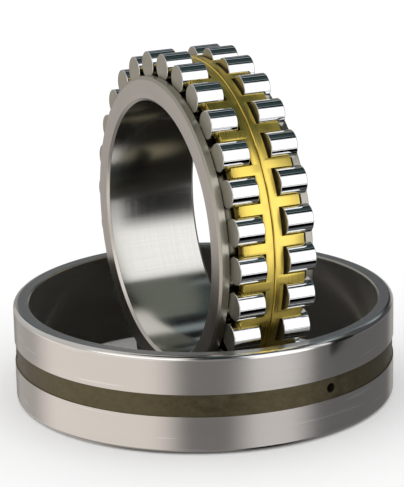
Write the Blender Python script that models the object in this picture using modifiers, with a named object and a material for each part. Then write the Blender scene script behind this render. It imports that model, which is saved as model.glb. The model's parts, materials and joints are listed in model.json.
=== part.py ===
"""Double-row cylindrical roller bearing, 120 x 180 x 46 mm, taken apart for show.

The outer ring lies flat on the floor, centred on the origin. The inner ring stands on edge inside
it, with its own axis along +X, and carries two brass comb cages and two rows of rollers. Each
cage holds one row: the front row is on the -X side and the rear row on the +X side.
"""
import math

import bmesh
import bpy
from mathutils import Matrix, Vector

MM = 0.001
COLLECTION = "cylindrical_roller_bearing"

# Boundary dimensions of the bearing
BORE_R = 60.0 * MM
OUTSIDE_R = 90.0 * MM
WIDTH = 46.0 * MM
HALF_WIDTH = WIDTH / 2

# Outer ring: one plain raceway, and a lubrication groove with holes round the outside
OUTER_RACE_R = 82.5 * MM
OUTER_EDGE = 2.2 * MM
OUTER_EDGE_SAG = 0.32 * OUTER_EDGE
OUTER_RACE_CHAMFER = 1.2 * MM
GROOVE_HALF_WIDTH = 5.15 * MM
GROOVE_DEPTH = 0.5 * MM
OIL_HOLE_R = 2.25 * MM
OIL_HOLE_COUNT = 3
OIL_HOLE_FIRST_ANGLE = math.radians(-75.0)
OIL_HOLE_SIDES = 16
OUTER_STEPS = 96

# Rollers
ROLLERS_PER_ROW = 28
ROLLER_R = 6.38 * MM
ROLLER_LENGTH = 13.0 * MM
ROLLER_CHAMFER = 0.6 * MM
ROLLER_SIDES = 16
PITCH_R = 76.0 * MM
ROLLER_MIDDLE = 12.0 * MM
ROLLER_END_PLAY = 0.25 * MM
FRONT_ROW_PHASE = math.radians(-12.5)
ROW_STAGGER = math.radians(-1.6)

# Inner ring: two raceways between a middle rib and two side ribs
INNER_RACE_R = 69.3 * MM
RIB_R = 71.3 * MM
MIDDLE_RIB_HALF_WIDTH = ROLLER_MIDDLE - ROLLER_LENGTH / 2 - ROLLER_END_PLAY
SIDE_RIB_INNER = ROLLER_MIDDLE + ROLLER_LENGTH / 2 + ROLLER_END_PLAY
RIB_BEVEL_WIDTH = 0.8 * MM
RIB_BEVEL_DROP = 1.6 * MM
BORE_CHAMFER = 1.2 * MM
RACE_RELIEF_WIDTH = 0.5 * MM
RACE_RELIEF_DEPTH = 0.25 * MM
INNER_STEPS = 84

# Brass comb cages, back to back on the middle plane
CAGE_OUTER_R = 78.2 * MM
CAGE_INNER_R = 72.0 * MM
CAGE_GAP = 0.15 * MM
CAGE_BACK_THICKNESS = 4.2 * MM
CAGE_PRONG_END = 14.7 * MM
CAGE_SPLIT_CHAMFER = 0.6 * MM
POCKET_R = 6.72 * MM
POCKET_SIDES = 20
POCKET_OVERSHOOT = 4.0 * MM
CAGE_STEPS = 84

# The standing assembly: its axis runs along +X, its lowest rollers clear the floor, and it stands
# a little in front of the outer ring's centre
FLOOR_GAP = 0.3 * MM
OFF_CENTRE_X = -1.7 * MM
OFF_CENTRE_Y = -3.8 * MM
ASSEMBLY_CENTRE = Vector((OFF_CENTRE_X, OFF_CENTRE_Y, PITCH_R + ROLLER_R + FLOOR_GAP))

STEEL = (0.62, 0.60, 0.585, 1.0)
ROLLER_STEEL = (0.80, 0.81, 0.82, 1.0)
BRASS = (0.80, 0.62, 0.20, 1.0)


def clear_scene():
    for obj in list(bpy.data.objects):
        bpy.data.objects.remove(obj, do_unlink=True)


def new_collection(name):
    collection = bpy.data.collections.new(name)
    bpy.context.scene.collection.children.link(collection)
    return collection


def make_material(name, color, roughness, metallic):
    material = bpy.data.materials.new(name)
    material.use_nodes = True
    shader = material.node_tree.nodes["Principled BSDF"]
    shader.inputs["Base Color"].default_value = color
    shader.inputs["Roughness"].default_value = roughness
    shader.inputs["Metallic"].default_value = metallic
    return material


def link_mesh(name, mesh, collection, material=None):
    obj = bpy.data.objects.new(name, mesh)
    collection.objects.link(obj)
    if material is not None:
        mesh.materials.append(material)
    return obj


def smooth(mesh, angle_degrees=30.0):
    mesh.shade_smooth()
    mesh.set_sharp_from_angle(angle=math.radians(angle_degrees))


def profile_mesh(name, points):
    """A closed (radius, height) outline in the XZ plane, ready for a Screw modifier."""
    mesh = bpy.data.meshes.new(name)
    vertices = [(radius, 0.0, height) for radius, height in points]
    edges = [(i, (i + 1) % len(points)) for i in range(len(points))]
    mesh.from_pydata(vertices, edges, [])
    return mesh


def turned(name, points, steps, collection, material):
    """A ring turned about its own Z axis. The outline runs down its outer side."""
    obj = link_mesh(name, profile_mesh(name, points), collection, material)
    screw = obj.modifiers.new("turn", "SCREW")
    screw.axis = "Z"
    screw.steps = steps
    screw.render_steps = steps
    screw.use_merge_vertices = True
    screw.merge_threshold = 0.00001
    screw.use_smooth_shade = True
    return obj


def cylinder_mesh(name, radius, length, sides, chamfer=0.0):
    """A cylinder along Z, centred on the origin, with a chamfer round each end if one is given."""
    mesh = bpy.data.meshes.new(name)
    bm = bmesh.new()
    bmesh.ops.create_cone(
        bm,
        cap_ends=True,
        segments=sides,
        radius1=radius,
        radius2=radius,
        depth=length,
    )
    if chamfer > 0.0:
        rims = [edge for edge in bm.edges if edge.verts[0].co.z * edge.verts[1].co.z > 0.0]
        bmesh.ops.bevel(bm, geom=rims, offset=chamfer, segments=1, affect="EDGES")
    bm.to_mesh(mesh)
    bm.free()
    return mesh


def as_cutter(obj):
    obj.hide_render = True
    obj.display_type = "WIRE"
    return obj


def cut(obj, cutter):
    boolean = obj.modifiers.new("cut", "BOOLEAN")
    boolean.operation = "DIFFERENCE"
    boolean.solver = "EXACT"
    boolean.object = cutter


def along_x(centre):
    """Stand a piece that was turned about Z with its axis along +X, through the given centre."""
    return Matrix.Translation(centre) @ Matrix.Rotation(math.pi / 2, 4, "Y")


def outer_ring_outline():
    middle = HALF_WIDTH
    groove_top = middle + GROOVE_HALF_WIDTH
    groove_bottom = middle - GROOVE_HALF_WIDTH
    groove_r = OUTSIDE_R - GROOVE_DEPTH
    edge = OUTER_EDGE
    soft = OUTER_EDGE_SAG
    inside = OUTER_RACE_R + OUTER_RACE_CHAMFER
    return [
        (OUTSIDE_R - edge, WIDTH),
        (OUTSIDE_R - soft, WIDTH - soft),
        (OUTSIDE_R, WIDTH - edge),
        (OUTSIDE_R, groove_top),
        (groove_r, groove_top),
        (groove_r, groove_bottom),
        (OUTSIDE_R, groove_bottom),
        (OUTSIDE_R, edge),
        (OUTSIDE_R - soft, soft),
        (OUTSIDE_R - edge, 0.0),
        (inside, 0.0),
        (OUTER_RACE_R, OUTER_RACE_CHAMFER),
        (OUTER_RACE_R, WIDTH - OUTER_RACE_CHAMFER),
        (inside, WIDTH),
    ]


def make_outer_ring(parts, cutters, material):
    ring = turned("outer_ring", outer_ring_outline(), OUTER_STEPS, parts, material)
    wall = OUTSIDE_R - OUTER_RACE_R
    drill_mesh = cylinder_mesh("oil_hole_drill", OIL_HOLE_R, 3 * wall, OIL_HOLE_SIDES)
    for index in range(OIL_HOLE_COUNT):
        angle = OIL_HOLE_FIRST_ANGLE + index * math.tau / OIL_HOLE_COUNT
        outward = Vector((math.cos(angle), math.sin(angle), 0.0))
        drill = link_mesh("oil_hole_drill_%d" % index, drill_mesh, cutters)
        place = outward * (OUTSIDE_R + OUTER_RACE_R) / 2 + Vector((0.0, 0.0, HALF_WIDTH))
        turn = Vector((0.0, 0.0, 1.0)).rotation_difference(outward).to_matrix().to_4x4()
        drill.matrix_world = Matrix.Translation(place) @ turn
        cut(ring, as_cutter(drill))
    return ring


def inner_ring_outline():
    """Half widths are mirrored about the middle, so the outline is built from one side."""
    side_face_r = RIB_R - RIB_BEVEL_DROP
    relief_r = INNER_RACE_R - RACE_RELIEF_DEPTH
    upper = [
        (BORE_R + BORE_CHAMFER, HALF_WIDTH),
        (side_face_r, HALF_WIDTH),
        (RIB_R, HALF_WIDTH - RIB_BEVEL_WIDTH),
        (RIB_R, SIDE_RIB_INNER),
        (relief_r, SIDE_RIB_INNER),
        (INNER_RACE_R, SIDE_RIB_INNER - RACE_RELIEF_WIDTH),
        (INNER_RACE_R, MIDDLE_RIB_HALF_WIDTH + RACE_RELIEF_WIDTH),
        (relief_r, MIDDLE_RIB_HALF_WIDTH),
        (RIB_R, MIDDLE_RIB_HALF_WIDTH),
    ]
    lower = [(radius, -height) for radius, height in reversed(upper)]
    bore = [(BORE_R, -HALF_WIDTH + BORE_CHAMFER), (BORE_R, HALF_WIDTH - BORE_CHAMFER)]
    return upper + lower + bore


def make_inner_ring(parts, material):
    ring = turned("inner_ring", inner_ring_outline(), INNER_STEPS, parts, material)
    ring.matrix_world = along_x(ASSEMBLY_CENTRE)
    return ring


def cage_outline():
    """A plain ring from the split face to the prong ends, before its pockets are cut."""
    start = CAGE_GAP
    end = CAGE_PRONG_END
    chamfer = CAGE_SPLIT_CHAMFER
    return [
        (CAGE_INNER_R, end),
        (CAGE_OUTER_R - chamfer, end),
        (CAGE_OUTER_R, end - chamfer),
        (CAGE_OUTER_R, start + chamfer),
        (CAGE_OUTER_R - chamfer, start),
        (CAGE_INNER_R, start),
    ]


def row_angles(phase):
    return [phase + index * math.tau / ROLLERS_PER_ROW for index in range(ROLLERS_PER_ROW)]


def roller_offset(angle):
    """From the assembly's axis to a roller's axis. Angle 0 is at the top, and grows towards -Y."""
    return Vector((0.0, -math.sin(angle), math.cos(angle))) * PITCH_R


def make_cage(name, side, phase, parts, cutters, material):
    """One comb cage. Its pockets are open at the prong ends, so the rollers slide in from there."""
    cage = turned(name, cage_outline(), CAGE_STEPS, parts, material)
    facing = along_x(ASSEMBLY_CENTRE)
    if side < 0:
        facing = facing @ Matrix.Rotation(math.pi, 4, "X")
    cage.matrix_world = facing
    pocket_length = CAGE_PRONG_END - CAGE_BACK_THICKNESS + POCKET_OVERSHOOT
    drill_mesh = cylinder_mesh(name + "_pocket_drill", POCKET_R, pocket_length, POCKET_SIDES)
    middle = side * (CAGE_BACK_THICKNESS + pocket_length / 2)
    for index, angle in enumerate(row_angles(phase)):
        drill = link_mesh("%s_pocket_drill_%02d" % (name, index + 1), drill_mesh, cutters)
        centre = ASSEMBLY_CENTRE + roller_offset(angle) + Vector((middle, 0.0, 0.0))
        drill.matrix_world = Matrix.Translation(centre) @ roller_turn(angle)
        cut(cage, as_cutter(drill))
    return cage


def roller_turn(angle):
    """Axis along +X, with one flat of the faceted barrel facing away from the bearing's axis."""
    return Matrix.Rotation(angle, 4, "X") @ Matrix.Rotation(math.pi / 2, 4, "Y")


def make_row(name, side, phase, parts, material):
    """One row of identical rollers, which share a mesh."""
    mesh = cylinder_mesh(name, ROLLER_R, ROLLER_LENGTH, ROLLER_SIDES, ROLLER_CHAMFER)
    mesh.materials.append(material)
    smooth(mesh)
    for index, angle in enumerate(row_angles(phase)):
        roller = link_mesh("%s_%02d" % (name, index + 1), mesh, parts)
        middle = Vector((side * ROLLER_MIDDLE, 0.0, 0.0))
        centre = ASSEMBLY_CENTRE + roller_offset(angle) + middle
        roller.matrix_world = Matrix.Translation(centre) @ roller_turn(angle)


def main():
    clear_scene()
    parts = new_collection(COLLECTION)
    cutters = new_collection("cutters")
    steel = make_material("ground_steel", STEEL, 0.28, 1.0)
    roller_steel = make_material("polished_steel", ROLLER_STEEL, 0.08, 1.0)
    brass = make_material("machined_brass", BRASS, 0.32, 1.0)
    make_outer_ring(parts, cutters, steel)
    make_inner_ring(parts, steel)
    rear_phase = FRONT_ROW_PHASE + ROW_STAGGER
    make_cage("front_cage", -1, FRONT_ROW_PHASE, parts, cutters, brass)
    make_cage("rear_cage", 1, rear_phase, parts, cutters, brass)
    make_row("front_roller", -1, FRONT_ROW_PHASE, parts, roller_steel)
    make_row("rear_roller", 1, rear_phase, parts, roller_steel)


main()
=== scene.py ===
"""Looks of the double-row cylindrical roller bearing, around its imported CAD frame."""

import json
import math

import bmesh
import bpy
from mathutils import Matrix, Vector


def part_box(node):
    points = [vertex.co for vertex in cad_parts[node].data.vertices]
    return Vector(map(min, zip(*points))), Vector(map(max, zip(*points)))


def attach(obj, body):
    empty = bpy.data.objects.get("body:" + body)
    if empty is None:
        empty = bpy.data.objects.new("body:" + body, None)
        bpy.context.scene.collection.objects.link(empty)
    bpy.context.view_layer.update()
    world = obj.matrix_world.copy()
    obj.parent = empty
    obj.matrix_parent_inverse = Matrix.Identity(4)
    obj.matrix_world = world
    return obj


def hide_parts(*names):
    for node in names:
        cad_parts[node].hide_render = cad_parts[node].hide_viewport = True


MM = 0.001

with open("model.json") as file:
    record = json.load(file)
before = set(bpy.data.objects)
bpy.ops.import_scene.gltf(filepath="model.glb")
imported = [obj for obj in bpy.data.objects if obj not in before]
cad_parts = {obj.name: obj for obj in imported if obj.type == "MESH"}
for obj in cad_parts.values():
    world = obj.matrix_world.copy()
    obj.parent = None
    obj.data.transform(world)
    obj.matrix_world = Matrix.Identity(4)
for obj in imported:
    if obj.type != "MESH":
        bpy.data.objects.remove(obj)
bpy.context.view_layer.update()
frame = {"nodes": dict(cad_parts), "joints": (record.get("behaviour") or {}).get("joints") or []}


def spin_centre(joint_name):
    """Where a joint's axis stands in the frame."""
    for joint in frame["joints"]:
        if joint["name"] == joint_name:
            return Vector(joint["pos_m"])
    raise ValueError("no joint named " + joint_name)


# The standing assembly's centre, and the move that takes a ring modelled about Z there, so that
# its axis runs along +X
ASSEMBLY = spin_centre("front_cage_spin")
STAND_UP = Matrix.Translation(ASSEMBLY) @ Matrix.Rotation(math.pi / 2, 4, "Y")
ROLLERS_PER_ROW = sum(name.startswith("front_roller") for name in frame["nodes"])

# Boundary dimensions, read from the frame
ring_low, ring_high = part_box("outer_ring")
OUTSIDE_R = (ring_high.x - ring_low.x) / 2
HALF_WIDTH = (ring_high.z - ring_low.z) / 2

# Outer ring
OUTER_RACE_R = 82.5 * MM
OUTER_EDGE = 2.2 * MM
OUTER_RACE_CHAMFER = 0.7 * MM
OUTER_BORE_R = OUTER_RACE_R + OUTER_RACE_CHAMFER
OUTER_FINE_EDGE = 0.25 * MM
GROOVE_HALF_WIDTH = 5.15 * MM
GROOVE_DEPTH = 0.5 * MM
GROOVE_R = OUTSIDE_R - GROOVE_DEPTH
GROOVE_LIP = 0.08 * MM
OIL_HOLE_R = 2.25 * MM
OIL_HOLE_SIDES = 40
OIL_HOLE_COUNT = 3
OIL_HOLE_FIRST_ANGLE = math.radians(-75.0)

# Inner ring
BORE_R = 60.0 * MM
BORE_CHAMFER = 1.2 * MM
INNER_RACE_R = 69.35 * MM
RIB_R = 71.3 * MM
SIDE_FACE_R = 69.7 * MM
RIB_BEVEL_WIDTH = 0.8 * MM
RIB_BEVEL_EDGE = 0.3 * MM
INNER_FINE_EDGE = 0.2 * MM
MIDDLE_RIB_HALF_WIDTH = 5.25 * MM
SIDE_RIB_INNER = 18.75 * MM
RACE_RELIEF_WIDTH = 0.5 * MM
RACE_RELIEF_DEPTH = 0.25 * MM
RACE_RELIEF_R = INNER_RACE_R - RACE_RELIEF_DEPTH

# Rollers
ROLLER_R = 6.45 * MM
ROLLER_HALF_LENGTH = 6.5 * MM
ROLLER_EDGE = 0.4 * MM
ROLLER_STEPS = 64

# Cages
CAGE_OUTER_R = 78.2 * MM
CAGE_INNER_R = 72.0 * MM
CAGE_GAP = 0.15 * MM
CAGE_BACK_THICKNESS = 4.2 * MM
CAGE_PRONG_END = 14.7 * MM
CAGE_SPLIT_CHAMFER = 0.35 * MM
CAGE_EDGE_BEVEL = 0.15 * MM
CAGE_STEPS = 12 * ROLLERS_PER_ROW
POCKET_R = 6.72 * MM
POCKET_SIDES = 72
POCKET_OVERRUN = 4 * MM
POCKET_LENGTH = CAGE_PRONG_END - CAGE_BACK_THICKNESS + POCKET_OVERRUN

# Fineness of turned shapes
RING_STEPS = 256
ARC_STEP_DEGREES = 18.0
ARC_LEAD = 0.03 * MM
SHARP_ANGLE = math.radians(32.0)
BEVEL_ANGLE = math.radians(40.0)

# Where one material ends and the next begins: how far past a wall or a rounded lip a face's
# middle lies, and the least slope of a ring's side face and of a roller's end
ZONE_MARGIN = 0.1 * MM
LIP_MARGIN = 0.03 * MM
SQUARE_TO_AXIS = 0.999
ROLLER_END_SLOPE = 0.9


# ---------------------------------------------------------------- camera

CAMERA_AZIMUTH = math.radians(-24.07)
CAMERA_ELEVATION = math.radians(19.8673)
CAMERA_DISTANCE = 1.12777
CAMERA_PITCH_UP = math.radians(3.4801)
CAMERA_ROLL = math.radians(1.2095)
LENS_MM = 115.594
SENSOR_HEIGHT_MM = 24.0


def new_object(name, data):
    obj = bpy.data.objects.new(name, data)
    bpy.context.scene.collection.objects.link(obj)
    return obj


def make_camera():
    """A long lens that looks slightly above the outer ring's centre."""
    camera_data = bpy.data.cameras.new("camera")
    camera_data.sensor_fit = "VERTICAL"
    camera_data.sensor_height = SENSOR_HEIGHT_MM
    camera_data.lens = LENS_MM
    camera_data.clip_end = 20.0
    camera = new_object("camera", camera_data)
    backward = Vector((
        math.sin(CAMERA_AZIMUTH) * math.cos(CAMERA_ELEVATION),
        -math.cos(CAMERA_AZIMUTH) * math.cos(CAMERA_ELEVATION),
        math.sin(CAMERA_ELEVATION),
    ))
    right = Vector((math.cos(CAMERA_AZIMUTH), math.sin(CAMERA_AZIMUTH), 0.0))
    up = backward.cross(right)
    axes = Matrix((right, up, backward)).transposed()
    aim = Matrix.Rotation(CAMERA_PITCH_UP, 3, "X") @ Matrix.Rotation(-CAMERA_ROLL, 3, "Z")
    place = Matrix.Translation(backward * CAMERA_DISTANCE)
    camera.matrix_world = place @ (axes @ aim).to_4x4()
    bpy.context.scene.camera = camera


make_camera()


# ---------------------------------------------------------------- mesh helpers


def corner_arc(before, corner, after, radius):
    """Points that round one corner of an outline, with a short straight lead on each side."""
    towards_before = (Vector(before) - Vector(corner)).normalized()
    towards_after = (Vector(after) - Vector(corner)).normalized()
    half_angle = towards_before.angle(towards_after) / 2
    reach = radius / math.tan(half_angle)
    start = Vector(corner) + towards_before * reach
    end = Vector(corner) + towards_after * reach
    middle = (towards_before + towards_after).normalized()
    centre = Vector(corner) + middle * (radius / math.sin(half_angle))
    turn = math.pi - 2 * half_angle
    count = max(2, math.ceil(math.degrees(turn) / ARC_STEP_DEGREES))
    points = [tuple(start + towards_before * ARC_LEAD)]
    for index in range(count + 1):
        outward = (start - centre).lerp(end - centre, index / count)
        points.append(tuple(centre + outward.normalized() * radius))
    points.append(tuple(end + towards_after * ARC_LEAD))
    return points


def rounded(corners):
    """A closed outline of (radius, height, rounding) corners, as plain points."""
    points = []
    for index, (x, y, rounding) in enumerate(corners):
        before = corners[index - 1][:2]
        after = corners[(index + 1) % len(corners)][:2]
        if rounding > 0.0:
            points += corner_arc(before, (x, y), after, rounding)
        else:
            points.append((x, y))
    return points


def both_sides(upper):
    """The outline of a ring from the corners of its upper half, which the lower half mirrors."""
    lower = [(radius, -height, rounding) for radius, height, rounding in reversed(upper)]
    return rounded(upper + lower)


def lathe(name, outline, steps, solid=False):
    """Turn an outline of (radius, height) points about Z. It runs down its outer side.

    A ring's outline is closed. A solid's outline is open, with a flat face at each end.
    """
    mesh = bpy.data.meshes.new(name)
    bm = bmesh.new()
    sections = []
    for step in range(steps):
        angle = step * math.tau / steps
        cosine = math.cos(angle)
        sine = math.sin(angle)
        sections.append([bm.verts.new((r * cosine, r * sine, z)) for r, z in outline])
    count = len(outline)
    for step, here in enumerate(sections):
        ahead = sections[(step + 1) % steps]
        for index in range(count - 1 if solid else count):
            below = (index + 1) % count
            bm.faces.new((here[index], here[below], ahead[below], ahead[index]))
    if solid:
        bm.faces.new([section[0] for section in sections])
        bm.faces.new([section[-1] for section in reversed(sections)])
    bm.to_mesh(mesh)
    bm.free()
    return mesh


def finish_shading(mesh):
    """Smooth shading, with the sharp edges kept sharp."""
    mesh.shade_smooth()
    mesh.set_sharp_from_angle(angle=SHARP_ANGLE)


def apply_modifiers(obj):
    """Swap the object's mesh for what its modifiers make of it."""
    depsgraph = bpy.context.evaluated_depsgraph_get()
    result = bpy.data.meshes.new_from_object(obj.evaluated_get(depsgraph), depsgraph=depsgraph)
    obj.modifiers.clear()
    obj.data = result


def drill(name, radius, length, sides):
    """A plain cylinder along Z, to cut with."""
    mesh = bpy.data.meshes.new(name)
    bm = bmesh.new()
    bmesh.ops.create_cone(
        bm,
        cap_ends=True,
        segments=sides,
        radius1=radius,
        radius2=radius,
        depth=length,
    )
    bm.to_mesh(mesh)
    bm.free()
    return mesh


def joined_drills(name, mesh, places):
    """Several copies of a drill, well apart from each other, as one cutting object."""
    bm = bmesh.new()
    for place in places:
        part = mesh.copy()
        part.transform(place)
        bm.from_mesh(part)
        bpy.data.meshes.remove(part)
    joined = bpy.data.meshes.new(name)
    bm.to_mesh(joined)
    bm.free()
    return new_object(name, joined)


def cut_with(obj, cutter):
    """Take the cutter's shape out of the object, and remove the cutter."""
    boolean = obj.modifiers.new("cut", "BOOLEAN")
    boolean.operation = "DIFFERENCE"
    boolean.solver = "EXACT"
    boolean.object = cutter
    apply_modifiers(obj)
    bpy.data.objects.remove(cutter, do_unlink=True)


def soften_edges(obj, width):
    """Bevel the object's sharp edges."""
    bevel = obj.modifiers.new("soft edges", "BEVEL")
    bevel.width = width
    bevel.segments = 2
    bevel.limit_method = "ANGLE"
    bevel.angle_limit = BEVEL_ANGLE
    apply_modifiers(obj)


def share_out_materials(mesh, materials, zone_of):
    """Give each face the material that zone_of names for its radius, height and slope.

    The height counts from the piece's middle, on both sides alike. The slope is 1 on a face
    square to the axis, and 0 on a face along it.
    """
    mesh.materials.clear()
    for material in materials.values():
        mesh.materials.append(material)
    zones = list(materials)
    for polygon in mesh.polygons:
        centre = polygon.center
        radius = math.hypot(centre.x, centre.y)
        zone = zone_of(radius, abs(centre.z), abs(polygon.normal.z))
        polygon.material_index = zones.index(zone)


# ---------------------------------------------------------------- node helpers


def link(tree, source, target):
    tree.links.new(source, target)


def math_node(tree, operation, first, second=None):
    """A Math node's output. Each value is a number or another node's output."""
    node = tree.nodes.new("ShaderNodeMath")
    node.operation = operation
    for socket, value in zip(node.inputs, (first, second)):
        if value is None:
            continue
        if isinstance(value, (int, float)):
            socket.default_value = value
        else:
            link(tree, value, socket)
    return node.outputs[0]


def weighted_sum(tree, first, second, first_share):
    """The two values added, with first_share of the first and the rest of the second."""
    return math_node(
        tree,
        "ADD",
        math_node(tree, "MULTIPLY", first, first_share),
        math_node(tree, "MULTIPLY", second, 1.0 - first_share),
    )


def smooth_step(tree, value, low, high, to_low=0.0, to_high=1.0):
    """to_low where the value is below low, to_high above high, and smooth in between."""
    node = tree.nodes.new("ShaderNodeMapRange")
    node.interpolation_type = "SMOOTHSTEP"
    link(tree, value, node.inputs["Value"])
    node.inputs["From Min"].default_value = low
    node.inputs["From Max"].default_value = high
    node.inputs["To Min"].default_value = to_low
    node.inputs["To Max"].default_value = to_high
    return node.outputs["Result"]


def between(tree, value, low, high, softness):
    """1 between low and high, 0 outside, with soft shoulders."""
    rise = smooth_step(tree, value, low - softness, low + softness)
    fall = smooth_step(tree, value, high - softness, high + softness, 1.0, 0.0)
    return math_node(tree, "MULTIPLY", rise, fall)


def split_coordinates(tree, kind):
    """One of the Texture Coordinate node's outputs, split into X, Y and Z."""
    coordinates = tree.nodes.new("ShaderNodeTexCoord")
    split = tree.nodes.new("ShaderNodeSeparateXYZ")
    link(tree, coordinates.outputs[kind], split.inputs[0])
    return split.outputs


def distance_from_axis(tree, x, y):
    """How far x and y are from zero, together."""
    x_squared = math_node(tree, "MULTIPLY", x, x)
    y_squared = math_node(tree, "MULTIPLY", y, y)
    return math_node(tree, "SQRT", math_node(tree, "ADD", x_squared, y_squared))


def turned_noise(tree, around, across, along, detail=3.0, roughness=0.55):
    """Noise stretched round the piece's own Z axis, so that it becomes turning or grinding lines.

    around, across and along say how fine it is round the axis, away from it and along it.
    """
    x, y, z = split_coordinates(tree, "Object")
    angle = math_node(tree, "ARCTAN2", y, x)
    radius = distance_from_axis(tree, x, y)
    stretched = tree.nodes.new("ShaderNodeCombineXYZ")
    for socket, value, fineness in zip(
        stretched.inputs, (angle, radius, z), (around, across, along)
    ):
        link(tree, math_node(tree, "MULTIPLY", value, fineness), socket)
    noise = tree.nodes.new("ShaderNodeTexNoise")
    link(tree, stretched.outputs[0], noise.inputs["Vector"])
    noise.inputs["Scale"].default_value = 1.0
    noise.inputs["Detail"].default_value = detail
    noise.inputs["Roughness"].default_value = roughness
    return noise.outputs["Fac"]


# ---------------------------------------------------------------- materials

# The part of the noise's range where colour and roughness change
NOISE_LOW = 0.3
NOISE_HIGH = 0.7

# Marks on the outer ring's outside
SCUFF_COLOR = (0.82, 0.81, 0.80, 1.0)
SCUFF_STRENGTH = 0.45
SCRATCH_LEVEL = 0.66
RUB_LEVEL = 0.68
SCUFF_SOFTNESS = 0.05


def new_material(name, metallic=1.0, specular=0.5):
    material = bpy.data.materials.new(name)
    material.use_nodes = True
    tree = material.node_tree
    shader = tree.nodes["Principled BSDF"]
    shader.inputs["Metallic"].default_value = metallic
    shader.inputs["Specular IOR Level"].default_value = specular
    return material, tree, shader


def vary_color(tree, shader, factor, dark, light):
    """Base colour that goes from dark to light as the factor rises."""
    ramp = tree.nodes.new("ShaderNodeValToRGB")
    link(tree, factor, ramp.inputs["Fac"])
    low, high = ramp.color_ramp.elements
    low.position = NOISE_LOW
    low.color = (*dark, 1.0)
    high.position = NOISE_HIGH
    high.color = (*light, 1.0)
    link(tree, ramp.outputs["Color"], shader.inputs["Base Color"])


def vary_roughness(tree, shader, factor, smoothest, roughest):
    """Roughness that rises with the factor."""
    roughness = smooth_step(tree, factor, NOISE_LOW, NOISE_HIGH, smoothest, roughest)
    link(tree, roughness, shader.inputs["Roughness"])


def add_bump(tree, shader, height, strength, depth):
    """Relief from a height between 0 and 1, as deep as depth in metres."""
    node = tree.nodes.new("ShaderNodeBump")
    node.inputs["Strength"].default_value = strength
    node.inputs["Distance"].default_value = depth
    link(tree, height, node.inputs["Height"])
    link(tree, node.outputs["Normal"], shader.inputs["Normal"])


def ground_steel(name, dark, light, roughness, line_strength, metallic=1.0):
    """Steel ground while it turned: fine lines run round the axis."""
    material, tree, shader = new_material(name, metallic)
    lines = turned_noise(tree, around=0.9, across=2600.0, along=2600.0, detail=4.0, roughness=0.7)
    patches = turned_noise(tree, around=1.1, across=60.0, along=60.0, detail=2.0)
    blend = weighted_sum(tree, lines, patches, first_share=0.55)
    vary_color(tree, shader, blend, dark, light)
    vary_roughness(tree, shader, blend, *roughness)
    add_bump(tree, shader, lines, strength=line_strength, depth=0.02 * MM)
    return material


def add_scuffs(material):
    """Sparse hairline scratches round the ring, and a few rubbed streaks along its axis."""
    tree = material.node_tree
    base_color = tree.nodes["Principled BSDF"].inputs["Base Color"]
    scratches = turned_noise(tree, around=1.4, across=1.0, along=420.0, detail=2.0, roughness=0.4)
    rubs = turned_noise(tree, around=46.0, across=1.0, along=5.0, detail=2.0, roughness=0.5)
    marks = math_node(
        tree,
        "MAXIMUM",
        smooth_step(tree, scratches, SCRATCH_LEVEL, SCRATCH_LEVEL + SCUFF_SOFTNESS),
        smooth_step(tree, rubs, RUB_LEVEL, RUB_LEVEL + SCUFF_SOFTNESS),
    )
    mix = tree.nodes.new("ShaderNodeMixRGB")
    link(tree, math_node(tree, "MULTIPLY", marks, SCUFF_STRENGTH), mix.inputs["Fac"])
    link(tree, base_color.links[0].from_socket, mix.inputs["Color1"])
    mix.inputs["Color2"].default_value = SCUFF_COLOR
    link(tree, mix.outputs["Color"], base_color)


def polished_bore():
    """Honed bore: nearly a mirror, with faint streaks along the axis and across it."""
    material, tree, shader = new_material("polished_bore")
    along = turned_noise(tree, around=60.0, across=1.0, along=12.0, detail=4.0, roughness=0.65)
    around = turned_noise(tree, around=1.5, across=1.0, along=900.0)
    blend = weighted_sum(tree, along, around, first_share=0.6)
    vary_color(tree, shader, blend, (0.57, 0.56, 0.525), (0.66, 0.65, 0.62))
    vary_roughness(tree, shader, blend, smoothest=0.12, roughest=0.16)
    add_bump(tree, shader, around, strength=0.04, depth=0.02 * MM)
    return material


def groove_floor():
    """The lubrication groove keeps its brown heat-treated skin and holds a film of oil."""
    material, tree, shader = new_material("groove_floor", metallic=0.85, specular=0.4)
    mottle = turned_noise(tree, around=18.0, across=300.0, along=300.0, detail=5.0, roughness=0.65)
    grain = turned_noise(tree, around=220.0, across=2500.0, along=2500.0, detail=3.0, roughness=0.6)
    blend = weighted_sum(tree, mottle, grain, first_share=0.6)
    vary_color(tree, shader, blend, (0.075, 0.060, 0.032), (0.155, 0.132, 0.078))
    vary_roughness(tree, shader, mottle, smoothest=0.32, roughest=0.46)
    add_bump(tree, shader, grain, strength=0.5, depth=0.05 * MM)
    return material


def painted_shade_oil_hole():
    """Drilled wall of an oil hole, coloured nearly black as painted shade deep in the hole, with a
    faint mottle.
    """
    material, tree, shader = new_material("painted_shade_oil_hole", metallic=0.3)
    shade_mottle = turned_noise(tree, around=120.0, across=900.0, along=900.0)
    # Painted shade: the hole's wall takes a near-black colour for the dark inside of the hole
    vary_color(tree, shader, shade_mottle, (0.012, 0.010, 0.007), (0.030, 0.026, 0.018))
    vary_roughness(tree, shader, shade_mottle, smoothest=0.30, roughest=0.45)
    return material


def roller_barrel():
    """Superfinished roller: a mirror with barely visible lines round it."""
    material, tree, shader = new_material("roller_barrel")
    lines = turned_noise(tree, around=1.2, across=1.0, along=3000.0, detail=3.0, roughness=0.6)
    vary_color(tree, shader, lines, (0.76, 0.77, 0.78), (0.86, 0.87, 0.88))
    vary_roughness(tree, shader, lines, smoothest=0.035, roughest=0.075)
    add_bump(tree, shader, lines, strength=0.05, depth=0.01 * MM)
    return material


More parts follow.
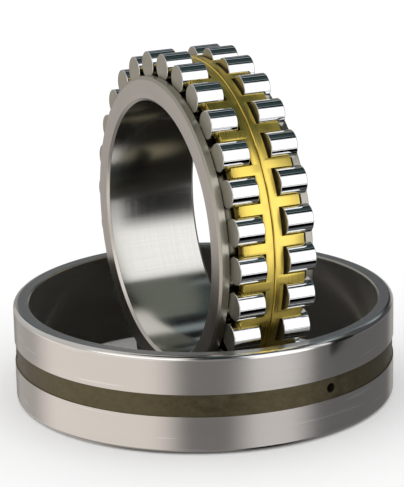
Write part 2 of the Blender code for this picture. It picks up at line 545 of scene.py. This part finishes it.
def machined_brass():
    """Machined brass: turning lines round the ring, and warmer and cooler patches."""
    material, tree, shader = new_material("machined_brass")
    lines = turned_noise(tree, around=0.8, across=1500.0, along=1500.0, detail=4.0, roughness=0.7)
    patches = turned_noise(tree, around=2.5, across=50.0, along=50.0)
    blend = weighted_sum(tree, lines, patches, first_share=0.4)
    vary_color(tree, shader, blend, (0.88, 0.64, 0.12), (0.98, 0.78, 0.20))
    vary_roughness(tree, shader, blend, smoothest=0.24, roughest=0.36)
    add_bump(tree, shader, lines, strength=0.25, depth=0.03 * MM)
    return material


def outer_ring_materials():
    """Ground and polished steel, with a brown groove, painted shade in the oil holes and on the
    raceway, and lighter edges that are partly polish and partly a painted highlight.
    """
    outside = ground_steel(
        "outer_ring_outside", (0.58, 0.55, 0.525), (0.64, 0.61, 0.585), (0.18, 0.23), 0.04
    )
    add_scuffs(outside)
    return {
        "outside": outside,
        "groove": groove_floor(),
        # Painted shade: the raceway inside the ring is coloured far darker than the outside
        "raceway": ground_steel(
            "outer_ring_raceway_painted_shade", (0.32, 0.31, 0.28), (0.42, 0.40, 0.36), (0.14, 0.22), 0.06, 0.90
        ),
        "oil_hole": painted_shade_oil_hole(),
        "side_face": ground_steel(
            "outer_ring_side_face", (0.34, 0.35, 0.35), (0.42, 0.43, 0.43), (0.40, 0.48), 0.10
        ),
        # Lighter and smoother than the outside on the rounded edges: partly their polish, partly a
        # painted highlight
        "edge": ground_steel(
            "outer_ring_edge_polish_and_highlight", (0.74, 0.73, 0.71), (0.82, 0.81, 0.79), (0.12, 0.18), 0.04
        ),
    }


def inner_ring_materials():
    """Ground faces, a polished bore, and ribs and raceways that lie in the rollers' shade, with
    that shade painted into their darker colour.
    """
    return {
        "faces": ground_steel(
            "inner_ring_faces", (0.55, 0.515, 0.48), (0.63, 0.60, 0.565), (0.26, 0.36), 0.20
        ),
        "bore": polished_bore(),
        # Painted shade: the ribs are coloured darker than the faces
        "ribs": ground_steel(
            "inner_ring_ribs_painted_shade", (0.38, 0.36, 0.31), (0.48, 0.46, 0.40), (0.26, 0.36), 0.20
        ),
        # Painted shade: the raceways are coloured nearly black, for the deep shade under the
        # rollers
        "raceways": ground_steel(
            "inner_ring_raceways_painted_shade", (0.14, 0.13, 0.11), (0.22, 0.21, 0.18), (0.14, 0.24), 0.08
        ),
    }


def roller_materials():
    """A mirror barrel between ground ends."""
    return {
        "barrel": roller_barrel(),
        "end": ground_steel(
            "roller_end", (0.40, 0.38, 0.32), (0.50, 0.48, 0.41), (0.30, 0.42), 0.20
        ),
    }


# ---------------------------------------------------------------- pieces


def outer_ring_zone(radius, height, slope):
    """The outer ring's material at a face, as share_out_materials asks for it."""
    past_walls = OUTER_RACE_R + ZONE_MARGIN < radius < GROOVE_R - ZONE_MARGIN
    if past_walls and height < OIL_HOLE_R:
        return "oil_hole"
    if radius < OUTER_BORE_R - LIP_MARGIN:
        return "raceway"
    if radius < OUTSIDE_R - LIP_MARGIN and height < GROOVE_HALF_WIDTH + GROOVE_LIP:
        return "groove"
    if slope > SQUARE_TO_AXIS:
        return "side_face"
    if height > HALF_WIDTH - OUTER_EDGE:
        return "edge"
    return "outside"


def oil_hole_drills():
    """A drill through the ring's wall at each oil hole."""
    places = []
    for index in range(OIL_HOLE_COUNT):
        angle = OIL_HOLE_FIRST_ANGLE + index * math.tau / OIL_HOLE_COUNT
        outward = Vector((math.cos(angle), math.sin(angle), 0.0))
        turn = Vector((0.0, 0.0, 1.0)).rotation_difference(outward).to_matrix().to_4x4()
        places.append(Matrix.Translation(outward * (OUTSIDE_R + OUTER_RACE_R) / 2) @ turn)
    length = 3 * (OUTSIDE_R - OUTER_RACE_R)
    bit = drill("oil_hole_drill", OIL_HOLE_R, length, OIL_HOLE_SIDES)
    return joined_drills("oil_hole_drills", bit, places)


def make_outer_ring():
    """The lying ring: a plain raceway inside, and a groove with oil holes round its outside."""
    upper = [
        (OUTER_RACE_R, HALF_WIDTH - OUTER_RACE_CHAMFER, OUTER_FINE_EDGE),
        (OUTER_BORE_R, HALF_WIDTH, OUTER_FINE_EDGE),
        (OUTSIDE_R, HALF_WIDTH, OUTER_EDGE),
        (OUTSIDE_R, GROOVE_HALF_WIDTH, GROOVE_LIP),
        (GROOVE_R, GROOVE_HALF_WIDTH, OUTER_FINE_EDGE),
    ]
    ring = new_object("outer_ring_body", lathe("outer_ring_body", both_sides(upper), RING_STEPS))
    cut_with(ring, oil_hole_drills())
    share_out_materials(ring.data, outer_ring_materials(), outer_ring_zone)
    finish_shading(ring.data)
    ring.matrix_world = Matrix.Translation((0.0, 0.0, HALF_WIDTH))
    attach(ring, "outer_ring")
    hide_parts("outer_ring")


def inner_ring_zone(radius, height, slope):
    """The inner ring's material at a face."""
    if radius < BORE_R + ZONE_MARGIN:
        return "bore"
    if radius > (INNER_RACE_R + RIB_R) / 2:
        return "ribs"
    if radius > RACE_RELIEF_R - ZONE_MARGIN and height < SIDE_RIB_INNER + ZONE_MARGIN:
        return "raceways"
    return "faces"


def make_inner_ring():
    """The standing ring: two raceways between three ribs."""
    upper = [
        (BORE_R, HALF_WIDTH - BORE_CHAMFER, INNER_FINE_EDGE),
        (BORE_R + BORE_CHAMFER, HALF_WIDTH, INNER_FINE_EDGE),
        (SIDE_FACE_R, HALF_WIDTH, RIB_BEVEL_EDGE),
        (RIB_R, HALF_WIDTH - RIB_BEVEL_WIDTH, RIB_BEVEL_EDGE),
        (RIB_R, SIDE_RIB_INNER, INNER_FINE_EDGE),
        (RACE_RELIEF_R, SIDE_RIB_INNER, 0.0),
        (INNER_RACE_R, SIDE_RIB_INNER - RACE_RELIEF_WIDTH, 0.0),
        (INNER_RACE_R, MIDDLE_RIB_HALF_WIDTH + RACE_RELIEF_WIDTH, 0.0),
        (RACE_RELIEF_R, MIDDLE_RIB_HALF_WIDTH, 0.0),
        (RIB_R, MIDDLE_RIB_HALF_WIDTH, INNER_FINE_EDGE),
    ]
    ring = new_object("inner_ring_body", lathe("inner_ring_body", both_sides(upper), RING_STEPS))
    share_out_materials(ring.data, inner_ring_materials(), inner_ring_zone)
    finish_shading(ring.data)
    ring.matrix_world = STAND_UP
    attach(ring, "inner_ring")
    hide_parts("inner_ring")


def roller_nodes(row):
    """The names of one row's CAD rollers."""
    return ["%s_roller_%02d" % (row, number) for number in range(1, ROLLERS_PER_ROW + 1)]


def roller_centre(node):
    """The roller's centre, read from its CAD node."""
    low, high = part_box(node)
    return (low + high) / 2


def roller_place(centre):
    """The roller's own Z axis along +X, and its own X axis away from the bearing's axis."""
    away = centre - ASSEMBLY
    angle = math.atan2(-away.y, away.z)
    return (
        Matrix.Translation(centre)
        @ Matrix.Rotation(angle, 4, "X")
        @ Matrix.Rotation(math.pi / 2, 4, "Y")
    )


def make_cage(row, side, material):
    """A comb cage: a back ring at the split plane, with prongs between the rollers."""
    outline = [
        (CAGE_OUTER_R, CAGE_PRONG_END),
        (CAGE_OUTER_R, CAGE_GAP + CAGE_SPLIT_CHAMFER),
        (CAGE_OUTER_R - CAGE_SPLIT_CHAMFER, CAGE_GAP),
        (CAGE_INNER_R, CAGE_GAP),
        (CAGE_INNER_R, CAGE_PRONG_END),
    ]
    name = row + "_comb_cage"
    cage = new_object(name, lathe(name, outline, CAGE_STEPS))
    facing = STAND_UP
    if side < 0:
        facing = facing @ Matrix.Rotation(math.pi, 4, "X")
    middle = ASSEMBLY.x + side * (CAGE_BACK_THICKNESS + POCKET_LENGTH / 2)
    places = []
    for node in roller_nodes(row):
        centre = roller_centre(node)
        pocket_centre = Vector((middle, centre.y, centre.z))
        places.append(facing.inverted() @ roller_place(pocket_centre))
    pocket = drill(name + "_pocket", POCKET_R, POCKET_LENGTH, POCKET_SIDES)
    cut_with(cage, joined_drills(name + "_pockets", pocket, places))
    soften_edges(cage, CAGE_EDGE_BEVEL)
    cage.data.materials.clear()
    cage.data.materials.append(material)
    finish_shading(cage.data)
    cage.matrix_world = facing
    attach(cage, row + "_cage")
    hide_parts(row + "_cage")


def roller_zone(radius, height, slope):
    """The roller's material at a face."""
    return "end" if slope > ROLLER_END_SLOPE else "barrel"


def roller_mesh():
    """One roller about Z, which all the rollers share."""
    outline = rounded([
        (ROLLER_R, ROLLER_HALF_LENGTH, ROLLER_EDGE),
        (ROLLER_R, -ROLLER_HALF_LENGTH, ROLLER_EDGE),
        (0.0, -ROLLER_HALF_LENGTH, 0.0),
        (0.0, ROLLER_HALF_LENGTH, 0.0),
    ])
    # The two corners on the axis only close the outline, and the flat ends take their place
    mesh = lathe("roller", outline[:-2], ROLLER_STEPS, solid=True)
    share_out_materials(mesh, roller_materials(), roller_zone)
    finish_shading(mesh)
    return mesh


def make_rollers(row, mesh):
    """One row of rollers, each where its CAD node is."""
    for node in roller_nodes(row):
        roller = new_object(node.replace("_roller_", "_steel_roller_"), mesh)
        roller.matrix_world = roller_place(roller_centre(node))
        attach(roller, node)
        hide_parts(node)


# ---------------------------------------------------------------- studio

DOME_STRENGTH = 1.12

# What polished metal sees all round. Each card: azimuth range, elevation range, softness of its
# sides and of its top and bottom, in degrees, then its colour and strength. Azimuth 0 is towards
# -Y, and it grows towards +X.
CARDS = [
    # The main light in front on the right, a strip beside it, and two thin ones below it
    ((3, 42), (-17.5, 56), 4, 2, (1.0, 1.0, 1.0), 1.35),
    ((46, 58), (2, 44), 5, 5, (1.0, 1.0, 1.0), 1.0),
    ((0, 32), (-20.4, -17.5), 9, 0.8, (1.0, 0.98, 0.97), 0.25),
    ((-2, 38), (-25.5, -20.4), 12, 0.8, (1.0, 0.98, 0.97), 1.15),
    # Low on the left
    ((-138, -45), (-30, -8), 12, 5, (1.0, 0.95, 0.90), 1.07),
    ((-138, -45), (-60, -30), 12, 5, (1.0, 0.95, 0.90), 0.30),
    ((-138, -45), (-8, 10), 12, 5, (1.0, 0.95, 0.90), 0.80),
    # High on the left, and on round behind to the right
    ((-95, -36), (12, 40), 8, 5, (1.0, 0.98, 0.95), 1.4),
    ((-95, -36), (40, 68), 8, 5, (1.0, 0.98, 0.95), 0.9),
    ((-200, -95), (12, 68), 8, 6, (1.0, 0.98, 0.95), 0.6),
    ((163, 200), (36, 68), 4, 5, (1.0, 0.98, 0.95), 0.6),
    # Behind, mostly low
    ((126, 157), (-60, 12), 6, 6, (1.0, 0.97, 0.94), 0.45),
    ((157, 200), (-60, 19), 3, 2, (1.0, 0.95, 0.91), 0.32),
    ((157, 200), (19, 36), 3, 2, (0.75, 0.92, 1.1), 0.12),
    ((-200, -138), (-60, 12), 10, 6, (1.0, 0.95, 0.91), 0.52),
    # Dim stretches in front on the left, on the right, and straight down
    ((-48, 3), (-60, 30), 8, 8, (1.0, 0.98, 0.96), 0.24),
    ((42, 125), (-60, -4), 8, 6, (0.97, 0.98, 1.0), 0.17),
    ((42, 125), (-4, 45), 8, 6, (0.96, 0.98, 1.0), 0.06),
    ((-180, 180), (-95, -62), 0.1, 4, (1.0, 0.97, 0.93), 0.14),
    # Cool strips high on the right and behind, and a dim teal stretch of ceiling
    ((115, 160), (25, 33), 4, 1.5, (0.80, 0.94, 1.0), 0.40),
    ((70, 152), (45, 53), 4, 1.5, (0.80, 0.94, 1.0), 0.36),
    ((40, 66), (60.5, 62.5), 4, 0.8, (0.85, 0.96, 1.0), 0.30),
    ((-36, 163), (60, 95), 6, 3, (0.55, 0.87, 0.87), 0.06),
]

# Flat cards near the bearing, for what the bore's wall reflects. Each card: its name, one corner
# and the two edges that leave it, in millimetres, its colour and strength, and the heights
# between which it brightens from black, or None where it is even.
NEAR_CARDS = [
    ("middle_shade_card", (42, -100, 30), (56, 0, 0), (0, 0, 88), (1.0, 1.0, 1.0), 1.3, (74, 116)),
    ("bounce_shade_card", (28, -34, 22), (0, 46, 0), (0, 0, 20), (1.0, 1.0, 1.0), 0.0, None),
    ("low_glow_card", (44, -32, 200), (38, 0, 0), (0, 106, 0), (0.92, 1.0, 0.86), 0.19, None),
]
CARD_BLACK = (0.01, 0.01, 0.01, 1.0)

# The painted pool of warm light on the black disc, which stands in for the shaded floor inside the
# outer ring
GLOW_CENTRE = (46 * MM, -14 * MM)
GLOW_R = 27 * MM
GLOW_COLOR = (1.0, 0.9, 0.62, 1.0)
GLOW_STRENGTH = 0.27
DISC_STRENGTH = 0.01
DISC_R = OUTER_RACE_R - 1 * MM
DISC_SIDES = 96
DISC_HEIGHT = 0.1 * MM

FLOOR_HALF_SIZE = 6.0
FLOOR_COLOR = (0.93, 0.93, 0.93, 1.0)


def studio_reflections(tree):
    """The cards all round, as a colour for each direction."""
    x, y, z = split_coordinates(tree, "Generated")
    azimuth = math_node(tree, "ARCTAN2", x, math_node(tree, "MULTIPLY", y, -1.0))
    azimuth = math_node(tree, "MULTIPLY", azimuth, math.degrees(1.0))
    elevation = math_node(tree, "ARCSINE", z)
    elevation = math_node(tree, "MULTIPLY", elevation, math.degrees(1.0))
    total = None
    for azimuths, elevations, side_soft, top_soft, color, strength in CARDS:
        mask = math_node(
            tree,
            "MULTIPLY",
            between(tree, azimuth, *azimuths, side_soft),
            between(tree, elevation, *elevations, top_soft),
        )
        card = tree.nodes.new("ShaderNodeVectorMath")
        card.operation = "SCALE"
        card.inputs[0].default_value = [channel * strength for channel in color]
        link(tree, mask, card.inputs["Scale"])
        if total is None:
            total = card.outputs[0]
            continue
        add = tree.nodes.new("ShaderNodeVectorMath")
        add.operation = "ADD"
        link(tree, total, add.inputs[0])
        link(tree, card.outputs[0], add.inputs[1])
        total = add.outputs[0]
    return total


def make_world():
    """An even white dome for everything matt, and the cards for reflections."""
    world = bpy.data.worlds.new("studio")
    bpy.context.scene.world = world
    world.use_nodes = True
    tree = world.node_tree
    tree.nodes.clear()
    output = tree.nodes.new("ShaderNodeOutputWorld")
    dome = tree.nodes.new("ShaderNodeBackground")
    dome.inputs["Color"].default_value = (1.0, 1.0, 1.0, 1.0)
    dome.inputs["Strength"].default_value = DOME_STRENGTH
    cards = tree.nodes.new("ShaderNodeBackground")
    link(tree, studio_reflections(tree), cards.inputs["Color"])
    choose = tree.nodes.new("ShaderNodeMixShader")
    path = tree.nodes.new("ShaderNodeLightPath")
    link(tree, path.outputs["Is Glossy Ray"], choose.inputs["Fac"])
    link(tree, dome.outputs[0], choose.inputs[1])
    link(tree, cards.outputs[0], choose.inputs[2])
    link(tree, choose.outputs[0], output.inputs["Surface"])


def matt_material(name, color):
    """A plain matt colour, for the studio."""
    material, tree, shader = new_material(name, metallic=0.0, specular=0.0)
    shader.inputs["Base Color"].default_value = color
    shader.inputs["Roughness"].default_value = 1.0
    return material, tree, shader


def make_floor():
    """A pale floor, which the polished metal doesn't reflect."""
    mesh = bpy.data.meshes.new("floor")
    bm = bmesh.new()
    bmesh.ops.create_grid(bm, x_segments=1, y_segments=1, size=FLOOR_HALF_SIZE)
    bm.to_mesh(mesh)
    bm.free()
    floor = new_object("floor", mesh)
    mesh.materials.append(matt_material("pale_floor", FLOOR_COLOR)[0])
    floor.visible_glossy = False


def reflected_only(obj):
    """Hide a studio card from everything but reflections."""
    obj.visible_camera = False
    obj.visible_diffuse = False
    obj.visible_shadow = False


def make_floor_shade_card():
    """A black disc under the standing assembly, seen only in reflections: painted shade for the
    floor inside the outer ring, with a painted pool of warm light at one side.
    """
    mesh = bpy.data.meshes.new("floor_shade_card")
    bm = bmesh.new()
    bmesh.ops.create_circle(bm, cap_ends=True, segments=DISC_SIDES, radius=DISC_R)
    bm.to_mesh(mesh)
    bm.free()
    card = new_object("floor_shade_card", mesh)
    card.location.z = DISC_HEIGHT
    material, tree, shader = matt_material("floor_shade_card", CARD_BLACK)
    x, y, _ = split_coordinates(tree, "Object")
    distance = distance_from_axis(
        tree,
        math_node(tree, "SUBTRACT", x, GLOW_CENTRE[0]),
        math_node(tree, "SUBTRACT", y, GLOW_CENTRE[1]),
    )
    # Painted shade over the disc, brightening to a painted pool of warm light round GLOW_CENTRE
    strength = smooth_step(tree, distance, 0.0, GLOW_R, GLOW_STRENGTH, DISC_STRENGTH)
    shader.inputs["Emission Color"].default_value = GLOW_COLOR
    link(tree, strength, shader.inputs["Emission Strength"])
    mesh.materials.append(material)
    reflected_only(card)


def make_near_cards():
    """Flat rectangles of light or shade, seen only in reflections."""
    for name, corner, first_edge, second_edge, color, strength, brightening in NEAR_CARDS:
        start = Vector(corner) * MM
        across = Vector(first_edge) * MM
        up = Vector(second_edge) * MM
        corners = [start, start + across, start + across + up, start + up]
        mesh = bpy.data.meshes.new(name)
        bm = bmesh.new()
        bm.faces.new([bm.verts.new(point) for point in corners])
        bm.to_mesh(mesh)
        bm.free()
        material, tree, shader = matt_material(name, CARD_BLACK)
        shader.inputs["Emission Color"].default_value = (*color, 1.0)
        shader.inputs["Emission Strength"].default_value = strength
        if brightening is not None:
            low, high = brightening
            height = split_coordinates(tree, "Object")["Z"]
            ramp = smooth_step(tree, height, low * MM, high * MM, 0.0, strength)
            link(tree, ramp, shader.inputs["Emission Strength"])
        mesh.materials.append(material)
        reflected_only(new_object(name, mesh))


make_outer_ring()
make_inner_ring()
cage_brass = machined_brass()
make_cage("front", -1, cage_brass)
make_cage("rear", 1, cage_brass)
shared_roller = roller_mesh()
make_rollers("front", shared_roller)
make_rollers("rear", shared_roller)
make_world()
make_floor()
make_floor_shade_card()
make_near_cards()
bpy.context.scene.view_settings.view_transform = "Standard"
